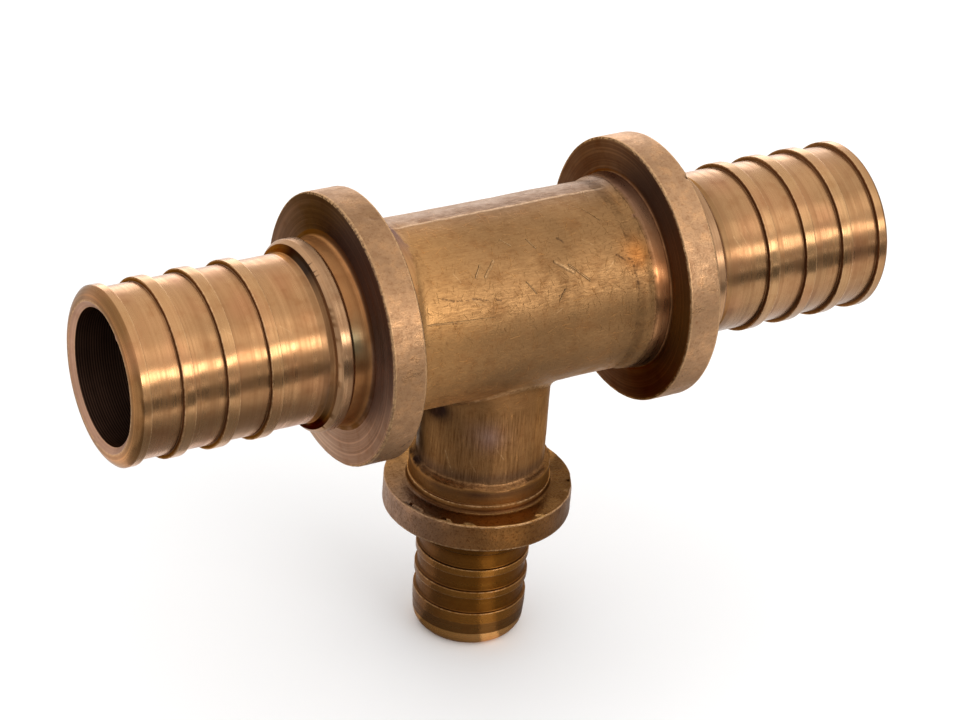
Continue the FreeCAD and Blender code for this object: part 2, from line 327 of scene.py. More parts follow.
branch_corners += [
    (BRANCH_LIP, BRANCH_LAND, 0.22, 0.9, "branch_side"),
    (BRANCH_LIP, BRANCH_CREST, 0.20, 0.6, "branch_crest"),
    (41.40, BRANCH_CREST, 0.06, 0.6, "branch_taper"),
    (43.00, 6.73, 0, -BRANCH_NOSE_RADIUS, "branch_nose"),
    (BRANCH_END, BRANCH_MOUTH, 0.05, 0.4, "mouth"),
    (44.55, BRANCH_BORE, 0.05, 4.0, "bore"),
    (NECK_TOP, BRANCH_BORE, 0, 1.6, "hidden"),
]
branch_outline = outline_rings(branch_corners)
# One more ring divides the neck's upper end, which lies inside the barrel.
branch_outline += [(Vector((NECK_TOP, 6.3)), "hidden", 0)]
branch = spin_outline(branch_outline, lambda point: Vector((point.y, 0, -point.x)) * mm,
                      (0, 0, 1), [(360, BRANCH_COLUMNS)])


def neck_skin(p):
    """Drag marks along the neck and its waviness."""
    along = Vector((p.x, p.y, p.z * 0.18))
    return 0.06 * rough(along, size=1.5, seed=13) + 0.05 * rough(p, size=5, seed=14)


def uneven_branch(p, r):
    """The radius at one place of the branch, once its skin and its rim are uneven."""
    angle = math.atan2(p.y, p.x)
    around = Vector((math.cos(angle), math.sin(angle), 0)) * 8
    if -24 < p.z < -8.5 and 7.4 < r < 8.5:
        # The neck ends in a ragged edge where the lathe tool stopped.
        root = (NECK_ROOT + 0.28 * rough(around, size=1.1, seed=11)
                + 0.12 * rough(around, size=0.4, seed=12))
        swell = max(0.0, -p.z - root) / NECK_SWELL_LENGTH
        skin = NECK + 0.75 * swell ** 1.5 + neck_skin(p)
        return min(skin, FOOT) if p.z > -NECK_SKIN_END else r
    if r > BRANCH_RIM_LEAST:
        # Pits all over the rim, and chips along its upper edge.
        pitted = (r - 0.04 * abs(rough(p, size=1.2, seed=15))
                  - 0.02 * (1 + rough(p, size=6, seed=16)))
        at_edge = max(0.0, 1 - abs(p.z + 24.65) / 0.6)
        return pitted - 0.26 * (at_edge * max(0.0, rough(p, size=1.5, seed=17) + 0.1))
    return r


for v in branch.verts:
    p = v.co / mm
    r = math.hypot(p.x, p.y)
    uneven = uneven_branch(p, r)
    if uneven != r:
        v.co = Vector((p.x * uneven / r, p.y * uneven / r, p.z)) * mm


def as_object(bm, name):
    """A new object of this shape, linked to the scene."""
    mesh = bpy.data.meshes.new(name)
    bm.to_mesh(mesh)
    bm.free()
    made = bpy.data.objects.new(name, mesh)
    bpy.context.scene.collection.objects.link(made)
    return made


# The casting: the neck is joined to the barrel, the branch bore is drilled through into the
# run's bore, and the corner between neck and barrel is rounded as the mould left it.
DRILL = 4.93
DRILL_LENGTH = 8

tee = as_object(run, "tee_casting")
branch_part = as_object(branch, "branch_part")
drill_bm = bmesh.new()
bmesh.ops.create_cone(drill_bm, cap_ends=True, segments=BRANCH_COLUMNS, radius1=DRILL * mm,
                      radius2=DRILL * mm, depth=DRILL_LENGTH * mm,
                      matrix=Matrix.Translation((0, 0, -DRILL_LENGTH * mm)))
drill = as_object(drill_bm, "drill")
for other, operation in ((branch_part, "UNION"), (drill, "DIFFERENCE")):
    join = tee.modifiers.new(operation.title(), "BOOLEAN")
    join.object = other
    join.operation = operation
    join.solver = "EXACT"
depsgraph = bpy.context.evaluated_depsgraph_get()
solid = bpy.data.meshes.new_from_object(tee.evaluated_get(depsgraph))
tee.modifiers.clear()
tee.data = solid
solid.name = "tee_casting"
for spent in (branch_part, drill):
    bpy.data.objects.remove(spent)

FILLET = 0.9
FILLET_STEPS = 6
CORNER_TOP = -7
CORNER_INSIDE = -0.6
LONG_EDGE = 0.3
bm = bmesh.new()
bm.from_mesh(solid)
bmesh.ops.remove_doubles(bm, verts=bm.verts, dist=0.02 * mm)
bmesh.ops.dissolve_degenerate(bm, dist=0.01 * mm, edges=bm.edges)


def corner_depths(p):
    """Heights above the barrel and above the neck, both 0 on the corner between them."""
    return (math.hypot(p.y, p.z) - BARREL - barrel_skin(p),
            math.hypot(p.x, p.y) - NECK - neck_skin(p))


def near_corner(p, reach):
    """Whether a place is this near to the corner between barrel and neck."""
    above, beside = corner_depths(p)
    return p.z < CORNER_TOP and CORNER_INSIDE < above < reach and CORNER_INSIDE < beside < reach


def onto_fillet(p):
    """The place moved onto the round of the corner, in a few steps."""
    for _ in range(FILLET_STEPS):
        above, beside = corner_depths(p)
        if above > FILLET or beside > FILLET:
            break
        width = math.hypot(FILLET - above, FILLET - beside)
        miss = FILLET - width
        slope = (Vector((0, p.y, p.z)).normalized() * (FILLET - above)
                 + Vector((p.x, p.y, 0)).normalized() * (FILLET - beside)) / width
        p = p - slope * miss / slope.length_squared
    return p


close = [e for e in bm.edges
         if all(near_corner(v.co / mm, 1.5) for v in e.verts) and e.calc_length() > LONG_EDGE * mm]
bmesh.ops.subdivide_edges(bm, edges=close, cuts=1, use_grid_fill=True)
bmesh.ops.triangulate(bm, faces=[f for f in bm.faces if len(f.verts) > 4])
for v in bm.verts:
    p = v.co / mm
    if near_corner(p, FILLET):
        v.co = onto_fillet(p) * mm
corner_verts = [v for v in bm.verts if near_corner(v.co / mm, FILLET + 0.5)]
for _ in range(2):
    bmesh.ops.smooth_vert(bm, verts=corner_verts, factor=0.4, use_axis_x=True, use_axis_y=True,
                          use_axis_z=True)

# Knocks and nicks: (place, reach, depth) in millimetres.
NICKS = [
    ((-18.2, -3.2, 15.4), 0.9, 0.28),
    ((-33.0, -8.0, 6.6), 0.7, 0.12),
    ((-32.6, -5.2, 9.0), 0.55, 0.12),
    ((21.0, -6.2, 14.4), 0.7, 0.30),
    ((17.3, -13.0, 9.0), 0.6, 0.22),
    ((17.4, -8.0, 13.6), 0.5, 0.2),
    ((-49.1, -4.5, 7.4), 0.6, 0.22),
    ((-49.0, 0.6, -8.6), 0.9, 0.30),
    ((43.0, -8.2, 6.0), 0.6, 0.12),
    ((32.3, -9.6, 3.4), 0.6, 0.10),
]
for place, reach, depth in NICKS:
    at = Vector(place) * mm
    for v in bm.verts:
        gap = (v.co - at).length / (reach * mm)
        if gap < 1:
            outwards = Vector((0, v.co.y, v.co.z)).normalized()
            v.co -= outwards * depth * mm * (1 - gap * gap) ** 2
bmesh.ops.recalc_face_normals(bm, faces=bm.faces)
for face in bm.faces:
    face.smooth = True
bm.to_mesh(solid)
bm.free()

# The casting's colours: each zone's bare colour, its roughness, and how white the light that
# grazes it turns. Some bare colours are painted shade: the flanges' inner faces (also dark
# patina), the ribs' step faces, and the hub and underside of the branch's flange. Stains and
# worn patches change the bare colour from place to place, and painted highlights, reflections
# and shade are laid over it by the angle round each pipe.
ZONES = {
    "barrel": ((0.295, 0.155, 0.062), 0.38, 0.8),
    "band": ((0.42, 0.205, 0.09), 0.30, 0.5),
    # Dark patina and painted shade.
    "inner_face": ((0.11, 0.062, 0.040), 0.42, 0.1),
    "rim": ((0.355, 0.200, 0.102), 0.34, 0.8),
    "outer_face": ((0.30, 0.182, 0.130), 0.40, 0.3),
    "hub": ((0.47, 0.215, 0.080), 0.36, 0.4),
    "ring": ((0.42, 0.24, 0.125), 0.30, 0.8),
    "ring_face": ((0.27, 0.135, 0.058), 0.38, 0.1),
    "relief": ((0.36, 0.195, 0.088), 0.34, 0.3),
    "land": ((0.385, 0.205, 0.094), 0.27, 1.0),
    "crest": ((0.43, 0.238, 0.110), 0.25, 1.0),
    # Darker as painted shade.
    "rib_side": ((0.17, 0.075, 0.030), 0.42, 0.3),
    "nose": ((0.22, 0.108, 0.042), 0.30, 0.7),
    "mouth": ((0.44, 0.25, 0.165), 0.40, 0.7),
    "bore": ((0.045, 0.023, 0.015), 0.42, 0.2),
    "neck": ((0.26, 0.126, 0.046), 0.36, 0.4),
    "foot": ((0.22, 0.100, 0.030), 0.33, 0.4),
    "branch_top": ((0.28, 0.14, 0.045), 0.38, 0.5),
    "branch_rim": ((0.22, 0.096, 0.026), 0.34, 0.9),
    # These two, under the branch's flange, are darker as painted shade.
    "branch_under": ((0.08, 0.036, 0.010), 0.42, 0.2),
    "branch_hub": ((0.05, 0.018, 0.003), 0.34, 0.1),
    "branch_ring": ((0.19, 0.076, 0.014), 0.32, 0.6),
    "branch_land": ((0.20, 0.075, 0.010), 0.30, 0.7),
    # Darker as painted shade.
    "branch_side": ((0.12, 0.046, 0.009), 0.40, 0.6),
    "branch_crest": ((0.31, 0.128, 0.023), 0.27, 0.8),
    "branch_taper": ((0.20, 0.088, 0.022), 0.30, 0.7),
    "branch_nose": ((0.42, 0.205, 0.058), 0.28, 0.6),
    "hidden": ((0.02, 0.010, 0.007), 0.5, 0.0),
}


def scaled(color, *factors):
    """The colour with each part times its own factor, or all times one."""
    return tuple(c * f for c, f in zip(color, factors * 3 if len(factors) == 1 else factors))


def mixed(color, over, amount):
    """The colour with some of another over it."""
    amount = min(1.0, max(0.0, amount))
    return tuple(c + (o - c) * amount for c, o in zip(color, over))


def aged_neck(p, turned, cloud, color):
    """Soot and painted shade on the left and under the left flange, dull at the foot, and a
    painted pinkish highlight in front."""
    # Painted shade, dark as soot, on the left and just below the barrel.
    soot_and_shade = bell(turned, -14, 26) + 1.3 * bell(p.z, -12.6, 1.5) * bell(turned, 16, 15)
    # A painted pinkish highlight on the front of the neck.
    pink_highlight = bell(p.z, -14.6, 1.6) * bell(turned, 64, 15) * (0.6 + cloud)
    color = mixed(color, (0.022, 0.011, 0.009), 0.95 * soot_and_shade + 0.5 * cloud * soot_and_shade)
    color = mixed(color, (0.10, 0.055, 0.035), 0.6 * bell(p.z, -20.4, 0.9))
    return mixed(color, (0.34, 0.20, 0.15), pink_highlight)


def aged_branch(p, zone, cloud, color):
    """Wear and stains of the branch, and painted highlights, reflections and shade. turned is
    the angle round it: 0 at the left, 90 in front.
    """
    turned = math.degrees(math.atan2(-p.y, -p.x))
    if zone == "neck":
        return aged_neck(p, turned, cloud, color)
    if zone == "foot":
        dull = 0.8 * bell(p.z, -22.1, 0.5) * (0.7 + 0.8 * cloud)
        return mixed(color, (0.10, 0.05, 0.028), dull)
    if zone == "branch_top":
        # Painted light: greyish on the left, darker at the back, a golden reflection in front.
        color = mixed(color, (0.14, 0.092, 0.07), 0.8 * bell(turned, 10, 45))
        color = mixed(color, (0.085, 0.04, 0.014), 0.8 * bell(turned, 165, 50))
        return mixed(color, (0.46, 0.26, 0.09), 0.9 * bell(turned, 80, 35))
    if zone == "branch_rim":
        # A painted greyish reflection on both sides of the rim.
        grey_reflection = 0.8 * bell(turned, 5, 40) + 0.7 * bell(turned, 150, 30)
        return mixed(color, (0.26, 0.16, 0.11), grey_reflection)
    if zone == "branch_nose":
        # A painted highlight on the front of the nose.
        return mixed(color, (0.80, 0.42, 0.145), bell(turned, 93, 42))
    # Painted shade: greyish and darker on both sides of the turned end, and dark near the flange.
    shaded_sides = max(1.3 * bell(turned, 0, 45), 0.6 * bell(turned, 165, 45))
    color = mixed(color, (0.10, 0.045, 0.018), 0.55 * shaded_sides)
    return scaled(color, 0.68, 0.62, 0.5) if p.z > -32.0 else color


def aged_tail(p, zone, around, wide, cloud, color):
    """The turned tails, browner in patches, with painted light and shade. The left one is paler,
    with a painted dark strip below the bright one and paler underneath, and stained beside its
    ring. The right one is darker underneath, and each nose paler on its lower front."""
    if zone == "nose":
        # Painted light: paler on the nose's lower front.
        color = scaled(color, 0.92 + 0.42 * bell(around, -55, 35))
    color = mixed(color, (0.37, 0.17, 0.080), 1.1 * cloud)
    if p.x > 0:
        color = scaled(color, 1.10, 1.12, 1.10)
        # Painted shade underneath the right tail.
        return scaled(color, 1 - 0.40 * bell(around, -65, 50))
    # Painted light: the left tail paler all over, a dark strip below its highlight, paler
    # underneath.
    color = scaled(color, 1.20, 1.19, 1.14)
    color = scaled(color, 1 - 0.30 * bell(around, -14, 14) + 0.34 * bell(around, -60, 22))
    stain = 0.5 * bell(p.x, -26.2 + 0.6 * wide, 0.7) * (0.6 + wide)
    return mixed(color, (0.22, 0.12, 0.07), stain)


def aged_run(p, zone, wide, cloud, color):
    """Wear and stains of the run, and painted highlights, reflections and shade. around is the
    angle round it: 0 in front, 90 on top.
    """
    around = math.degrees(math.atan2(p.z, -p.y))
    if zone in ("land", "crest", "nose", "relief"):
        color = aged_tail(p, zone, around, wide, cloud, color)
    elif zone == "barrel":
        copper_patch = 0.9 * bell((p - Vector((13.6, -8.6, 7.2))).length, 0, 1.7)
        # A painted golden reflection at the left end of the barrel.
        color = mixed(color, (0.48, 0.245, 0.088), 0.62 * bell(p.x, -13.5, 6.0))
        # Painted light: a little darker in front and paler underneath.
        color = scaled(color, 1 - 0.10 * bell(around, -5, 18) + 0.34 * bell(around, -55, 25))
        color = mixed(color, (0.42, 0.16, 0.04), copper_patch)
        # A painted pale lilac reflection along the top.
        color = mixed(color, (0.33, 0.235, 0.185), 0.8 * bell(around, 106, 14))
    elif zone == "band" and p.x < 0:
        # Painted shade: darker and purplish on top.
        color = mixed((0.48, 0.24, 0.09), (0.20, 0.12, 0.11), bell(around, 92, 22))
    elif zone == "band":
        # Painted shade on top and underneath, and a painted highlight in front.
        color = mixed(color, (0.21, 0.115, 0.075), 0.8 * bell(around, 88, 42))
        color = mixed(color, (0.62, 0.26, 0.10), 0.7 * bell(around, 24, 16))
        color = mixed(color, (0.20, 0.10, 0.045), 0.7 * bell(around, -50, 40))
    elif zone == "rim" and p.x < 0:
        # Painted shade: darker underneath and on top.
        color = scaled(color, 1 - 0.22 * bell(around, -50, 40) - 0.12 * bell(around, 80, 40))
    elif zone == "rim":
        # Painted light: paler underneath.
        color = scaled(color, 1 + 0.18 * bell(around, -50, 35))
        color = scaled(color, 1.14, 1.16, 1.19)
    elif zone == "ring_face":
        # Painted shade at the top and bottom of the face beside the ring.
        dark = 1.2 * bell(around, 88, 30) + 1.4 * bell(around, -62, 34)
        color = mixed(color, (0.035, 0.021, 0.014), dark)
    elif zone == "outer_face":
        # Dark patina and painted shade over most of the face, and a pale painted sheen at the
        # bottom.
        color = mixed(color, (0.034, 0.021, 0.017), 0.96 * bell(around, 95, 90) + 0.12 * wide)
        color = mixed(color, (0.52, 0.37, 0.28), 0.75 * bell(around, -102, 26))
    elif zone == "hub" and p.x < 0:
        greenish = bell(around, 22, 16) * (0.3 + 1.2 * cloud)
        color = mixed(color, (0.20, 0.15, 0.08), greenish)
    elif zone == "inner_face":
        # Painted light: an orange glow in front, with painted shade on top and underneath.
        color = mixed(color, (0.19, 0.085, 0.020), 0.95 * bell(around, -5, 42))
        color = mixed(color, (0.055, 0.032, 0.022), 0.75 * bell(around, 72, 26))
        color = mixed(color, (0.045, 0.026, 0.018), 0.9 * bell(around, -55, 35))
    return color


def aged(p, zone, color):
    """The zone's colour at one place: paler and darker patches, then its own wear and its painted
    light and shade.
    """
    cloud = rough(Vector((p.x * 0.8, p.y * 0.5, p.z * 0.5)), size=2.2, seed=21)
    wide = rough(p, size=6.0, seed=22)
    if zone.startswith("branch") or zone in ("neck", "foot"):
        return aged_branch(p, zone, cloud, scaled(color, 1 + 0.22 * wide + 0.15 * cloud))
    return aged_run(p, zone, wide, cloud, scaled(color, 1 + 0.16 * wide + 0.10 * cloud))


def lookup(rings):
    """A tree that finds the ring nearest to a place in the outline's plane."""
    found = KDTree(len(rings))
    for i, (point, _, _) in enumerate(rings):
        found.insert((point.x, point.y, 0), i)
    found.balance()
    return found


run_tree, branch_tree = lookup(run_outline), lookup(branch_outline)


def zone_at(p):
    """The zone and the edge value of the nearest ring, on the run or on the branch."""
    r = math.hypot(p.y, p.z)
    side = math.hypot(p.x, p.y)
    _, run_ring, run_gap = run_tree.find((p.x, r, 0))
    _, branch_ring, branch_gap = branch_tree.find((-p.z, side, 0))
    below_barrel = p.z < -10.4 and side < 9 and r > 11.35
    if p.z > CORNER_TOP or run_gap < branch_gap and not below_barrel:
        return run_outline[run_ring][1:]
    return branch_outline[branch_ring][1:]


def skin_at(p, zone):
    """The zone once the casting skin's ragged end is known, and the skin's value there: above 0
    on casting skin, below 0 where the lathe went, and 1 on the sandy rims."""
    if zone in ("barrel", "band"):
        cast = 0.5
        if abs(p.x) > BARREL_END:
            cast = band_radius(p.x) - cast_radius(p.x, math.atan2(p.z, -p.y))
        return "barrel" if cast > 0 else "band", cast
    if zone in ("neck", "foot"):
        cast = FOOT - math.hypot(p.x, p.y)
        return ("neck", cast) if cast > 0.03 and p.z > -23.0 else ("foot", -0.4)
    return zone, 1.0 if zone in ("rim", "branch_rim", "branch_top") else -0.5


def edge_at(p, zone, edge):
    """How worn an edge is, above 0, or how dark a corner is with dirt and painted shade,
    below 0.
    """
    if near_corner(p, FILLET + 0.2) and zone in ("barrel", "neck"):
        above, beside = corner_depths(p)
        return bell(above, beside, 0.40)
    if zone in ("relief", "ring_face", "bore", "hidden"):
        return 0
    # The branch's crest and rim edges are brighter still: wear, and painted glints.
    if edge > 0 and zone in ("branch_crest", "branch_rim"):
        return 0.62 if zone == "branch_crest" else 1.3
    if zone in ("hub", "ring") or zone.startswith("branch") and zone != "branch_rim":
        return edge * 0.4
    return edge


# Two attributes carry this to the material: tone is the colour, painted light and shade
# included, with the whiteness of grazing light as its alpha, and skin is (casting skin,
# roughness, edge).
tone = solid.attributes.new("tone", "FLOAT_COLOR", "POINT")
skin = solid.attributes.new("skin", "FLOAT_VECTOR", "POINT")
for i, v in enumerate(solid.vertices):
    p = v.co / mm
    zone, edge = zone_at(p)
    zone, cast = skin_at(p, zone)
    color, roughness, whiteness = ZONES[zone]
    tone.data[i].color = (*aged(p, zone, color), whiteness)
    skin.data[i].vector = (cast, roughness, edge_at(p, zone, edge))

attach(tee, "root")
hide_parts("tee_body")

# Its metal: bronze under a brown skin, with dirt and painted shade in the corners and dark
# patina and painted shade on the faces behind the flanges, bright where the lathe tool and
# later handling have rubbed it.
bronze = bpy.data.materials.new("tarnished_bronze")
bronze.use_nodes = True
tree = bronze.node_tree
tree.nodes.clear()


def node(kind, inputs=(), out=0, **settings):
    """One output of a new node; inputs are values or sockets by name or number."""
    made = tree.nodes.new(kind)
    for name, value in settings.items():
        setattr(made, name, value)
    for name, value in (inputs.items() if isinstance(inputs, dict) else enumerate(inputs)):
        if isinstance(value, bpy.types.NodeSocket):
            tree.links.new(value, made.inputs[name])
        else:
            made.inputs[name].default_value = value
    return made.outputs[out]


def calc(operation, *values, clamp=False):
    return node("ShaderNodeMath", values, operation=operation, use_clamp=clamp)


def times(first, *others):
    for other in others:
        first = calc("MULTIPLY", first, other)
    return first


def plus(first, *others):
    for other in others:
        first = calc("ADD", first, other)
    return first


def size_of(value):
    return calc("ABSOLUTE", value)


def ramp(value, low, high, at_low=0.0, at_high=1.0):
    """A smooth step from one value to another."""
    return node("ShaderNodeMapRange", (value, low, high, at_low, at_high),
                interpolation_type="SMOOTHSTEP")


def blend(amount, base, over, kind="MIX"):
    """Two colours mixed or multiplied; each is a socket or three numbers."""
    base = base if isinstance(base, bpy.types.NodeSocket) else (*base, 1)
    over = over if isinstance(over, bpy.types.NodeSocket) else (*over, 1)
    return node("ShaderNodeMix", {0: amount, 6: base, 7: over}, out=2, data_type="RGBA",
                blend_type=kind)


def choose(amount, low, high):
    """One number where the amount is 0 and the other where it is 1."""
    return node("ShaderNodeMix", {0: amount, 2: low, 3: high}, data_type="FLOAT")


def choose_vector(amount, low, high):
    """The same for vectors."""
    return node("ShaderNodeMix", {0: amount, 4: low, 5: high}, out=1, data_type="VECTOR")


def vector(operation, *values, out=0):
    return node("ShaderNodeVectorMath", values, out=out, operation=operation)


def lumps(coordinate, scale, detail=2.0, roughness=0.5, distortion=0.0, out=0):
    return node("ShaderNodeTexNoise", {"Vector": coordinate, "Scale": scale, "Detail": detail,
                                       "Roughness": roughness, "Distortion": distortion}, out=out)


def stretch(coordinate, x, y, z):
    return vector("MULTIPLY", coordinate, (x, y, z))


def parts(coordinate):
    """The X, Y and Z of a vector."""
    return node("ShaderNodeSeparateXYZ", (coordinate,)).node.outputs


def attribute(name):
    """The outputs of one attribute of the mesh."""
    return node("ShaderNodeAttribute", attribute_name=name).node.outputs


# Where a place is, in millimetres, and what it is.
place = vector("MULTIPLY", node("ShaderNodeTexCoord", out=3), (1000, 1000, 1000))
X, Y, Z = parts(place)
tone_outputs = attribute("tone")
TONE, WHITE = tone_outputs["Color"], tone_outputs["Alpha"]
CAST, ROUGH, EDGE = parts(attribute("skin")["Vector"])
is_cast = ramp(CAST, -0.01, 0.03)
is_turned = calc("SUBTRACT", 1.0, is_cast)
is_rim = ramp(CAST, 0.80, 0.95)
on_branch = ramp(Z, -22.0, -21.4, 1.0, 0.0)
on_neck = ramp(Z, -11.6, -10.8, 1.0, 0.0)

# Uneven patches, from a few millimetres to a few tenths across.
middle = lumps(place, 0.55, detail=4.0, roughness=0.6)
fine = lumps(place, 2.6, detail=3.0, roughness=0.6)
wide = lumps(place, 0.3, detail=1.0)
drift = vector("SUBTRACT", lumps(place, 1.6, detail=3.0, out=1), (0.5, 0.5, 0.5))
wobble = stretch(drift, 0.45, 0.45, 0.45)
ragged = vector("ADD", place, wobble)

# Fine lines left by the lathe run round the pipe axis, also over the flange faces.
run_radius = calc("SQRT", plus(times(Y, Y), times(Z, Z)))
branch_radius = calc("SQRT", plus(times(X, X), times(Y, Y)))
turned_place = node("ShaderNodeCombineXYZ", (
    choose(on_branch, X, Z), choose(on_branch, run_radius, branch_radius),
    times(plus(Y, X), 0.03)))
lathe = lumps(stretch(turned_place, 4.5, 4.5, 1.0), 1.0, detail=3.0, roughness=0.6)
lathe_wide = lumps(stretch(turned_place, 1.3, 1.3, 1.6), 1.0)

# The barrel is brushed along itself and the neck has drag marks down it.
brush = lumps(stretch(place, 0.9, 5.2, 5.2), 1.0, detail=4.0, roughness=0.6, distortion=0.9)
drag = lumps(stretch(place, 4.4, 4.4, 0.3), 1.0, detail=5.0, roughness=0.66, distortion=0.5)
streaks = choose(on_neck, brush, drag)

# Knocks and scratches: from, to, width, in millimetres. The deep ones come first.
DEEP_COUNT = 11
SCRATCHES = [
    ((-14.4, -10.2, 4.5), (-5.9, -10.5, 3.9), 0.10),
    ((6.6, 0.0, 11.2), (9.3, -2.6, 10.9), 0.09),
    ((9.3, -2.6, 10.9), (10.6, -4.7, 10.15), 0.10),
    ((3.0, -8.0, 7.9), (5.0, -9.0, 6.7), 0.30),
    ((4.6, -8.4, 7.4), (6.8, -9.7, 5.6), 0.17),
    ((-6.0, -8.0, 7.8), (-4.4, -6.8, 8.9), 0.24),
    ((-7.2, -7.9, 7.9), (-6.2, -6.9, 8.8), 0.16),
    ((-2.5, -4.7, 10.15), (-1.6, -5.6, 9.7), 0.14),
    ((0.6, -5.3, 9.9), (1.3, -6.4, 9.2), 0.13),
    ((2.6, -10.4, 4.2), (3.5, -9.9, 5.2), 0.12),
    ((-1.2, -9.0, 6.7), (-0.2, -9.8, 5.4), 0.10),
    ((-8.4, -9.3, 6.2), (-7.4, -9.8, 5.4), 0.11),
    ((9.2, -9.4, 6.1), (10.4, -8.8, 6.9), 0.10),
    ((1.4, -10.9, 2.6), (2.9, -10.7, 3.3), 0.09),
    ((7.2, -6.4, 9.2), (8.4, -7.2, 8.6), 0.10),
    ((-9.8, -7.2, 8.6), (-9.1, -8.2, 7.6), 0.10),
    ((18.6, -11.2, 11.2), (20.4, -10.4, 11.9), 0.12),
    ((17.9, -12.0, 10.4), (19.8, -11.5, 10.9), 0.09),
    ((27.6, -7.6, 6.1), (28.2, -8.4, 4.9), 0.12),
    ((28.6, -7.3, 6.4), (29.1, -8.2, 5.2), 0.10),
    ((29.5, -7.0, 6.7), (29.9, -7.9, 5.6), 0.09),
    ((-31.2, -7.2, 6.5), (-29.9, -7.9, 5.6), 0.08),
    ((-38.0, -6.9, 7.5), (-37.2, -7.5, 6.9), 0.10),
    ((-6.9, -3.5, -17.4), (-6.3, -4.4, -20.0), 0.16),
    ((-5.0, -5.9, -17.8), (-4.2, -6.5, -19.6), 0.12),
    ((-2.4, -7.35, -16.0), (-1.2, -7.6, -17.8), 0.14),
]
# Dark gouges and the cracks in the casting skin, in the same way.
GOUGES = [
    ((-11.9, -9.0, 6.65), (-10.6, -9.25, 6.3), 0.20),
    ((-10.2, -9.3, 6.25), (-8.6, -9.42, 6.05), 0.14),
    ((-8.2, -9.4, 6.1), (-6.5, -9.62, 5.7), 0.20),
    ((-5.5, -9.6, 5.75), (-4.7, -9.8, 5.4), 0.16),
    ((-14.0, -10.3, 4.4), (-9.0, -10.5, 3.9), 0.09),
    ((12.2, -8.6, 7.2), (12.9, -9.4, 6.1), 0.24),
    ((11.0, -8.4, 7.4), (11.9, -8.9, 6.8), 0.20),
    ((12.9, -9.7, 5.6), (13.1, -10.6, 3.6), 0.22),
    ((-19.8, -12.4, -9.8), (-19.1, -12.9, -9.1), 0.26),
    ((-18.3, -13.3, -8.5), (-17.7, -13.9, -7.6), 0.24),
    ((-20.6, -11.4, -10.9), (-20.2, -12.0, -10.3), 0.28),
    ((4.3, -5.8, 9.6), (4.9, -6.4, 9.2), 0.20),
    ((2.4, -10.2, 4.6), (3.6, -9.9, 5.2), 0.12),
]


def scratch_mask(coordinate, start, end, width):
    """A mask that is 1 along the line between two places."""
    start, end = Vector(start), Vector(end)
    way = end - start
    off = vector("SUBTRACT", coordinate, tuple(start))
    reached = vector("DOT_PRODUCT", off, tuple(way / way.length_squared), out=1)
    along = calc("MULTIPLY", reached, 1.0, clamp=True)
    step = node("ShaderNodeVectorMath", {0: tuple(way), 3: along}, operation="SCALE")
    return ramp(vector("DISTANCE", off, step, out=1), width, width * 0.15)


def all_scratches(coordinate, rows):
    """One mask of all the scratches in the rows."""
    most = scratch_mask(coordinate, *rows[0])
    for row in rows[1:]:
        most = calc("MAXIMUM", most, scratch_mask(coordinate, *row))
    return most


def short_scratches(density, length, width, share):
    """Short straight scratches in all directions on the barrel, one to a cell, in a share of
    the cells."""
    around = times(calc("ARCTAN2", Z, times(Y, -1.0)), 11.0)
    flat = node("ShaderNodeCombineXYZ", (X, around, 0.0))
    cell = node("ShaderNodeTexVoronoi", {"Vector": flat, "Scale": density},
                voronoi_dimensions="2D").node.outputs
    turn, chance, _ = parts(cell["Color"])
    off = node("ShaderNodeVectorRotate", {
        "Vector": vector("SUBTRACT", flat, cell["Position"]), "Angle": times(turn, 3.14)},
        rotation_type="Z_AXIS")
    along, across, _ = parts(off)
    line = ramp(size_of(across), width, width * 0.2)
    ended = ramp(size_of(along), length, length * 0.6)
    return times(line, ended, ramp(chance, 1 - share, 1.02 - share))


slightly_ragged = vector("MULTIPLY_ADD", wobble, (0.3, 0.3, 0.3), place)
deep_scratches = all_scratches(slightly_ragged, SCRATCHES[:DEEP_COUNT])
shallow_scratches = all_scratches(slightly_ragged, SCRATCHES[DEEP_COUNT:])
scratched = calc("MAXIMUM", deep_scratches, shallow_scratches)
gouged = times(all_scratches(ragged, GOUGES), ramp(fine, 0.40, 0.52))
hairs = calc("MAXIMUM", short_scratches(density=0.6, length=0.80, width=0.05, share=0.75),
             short_scratches(density=1.2, length=0.40, width=0.04, share=0.7))
on_barrel = times(calc("SUBTRACT", is_cast, is_rim), calc("SUBTRACT", 1.0, on_neck))
hairs = times(hairs, on_barrel)


def tinted(color, amount, tint):
    """The colour times a tint, as much as the amount says."""
    return blend(amount, color, tint, "MULTIPLY")


def painted(color, amount, paint):
    """The colour with a paint over it, as much as the amount says."""
    return blend(amount, color, paint)


# Browner patches, and darker bands and lines where the metal was turned.
color = tinted(TONE, ramp(middle, 0.45, 0.78, 0.0, 0.5), (0.74, 0.60, 0.50))
color = tinted(color, times(ramp(lathe, 0.34, 0.70, 0.0, 0.26), is_turned), (0.66, 0.58, 0.52))
color = tinted(color, times(ramp(lathe_wide, 0.42, 0.70, 0.0, 0.30), is_turned),
               (0.72, 0.60, 0.52))
# The faces square to the pipe axis show the lathe's arcs as bright lines.
axis = choose_vector(on_branch, (1.0, 0.0, 0.0), (0.0, 0.0, 1.0))
true_normal = node("ShaderNodeNewGeometry", out=3)
on_face = ramp(size_of(vector("DOT_PRODUCT", axis, true_normal, out=1)), 0.8, 0.95)
color = tinted(color, times(ramp(lathe, 0.50, 0.36), times(on_face, is_turned)),
               (1.32, 1.26, 1.2))
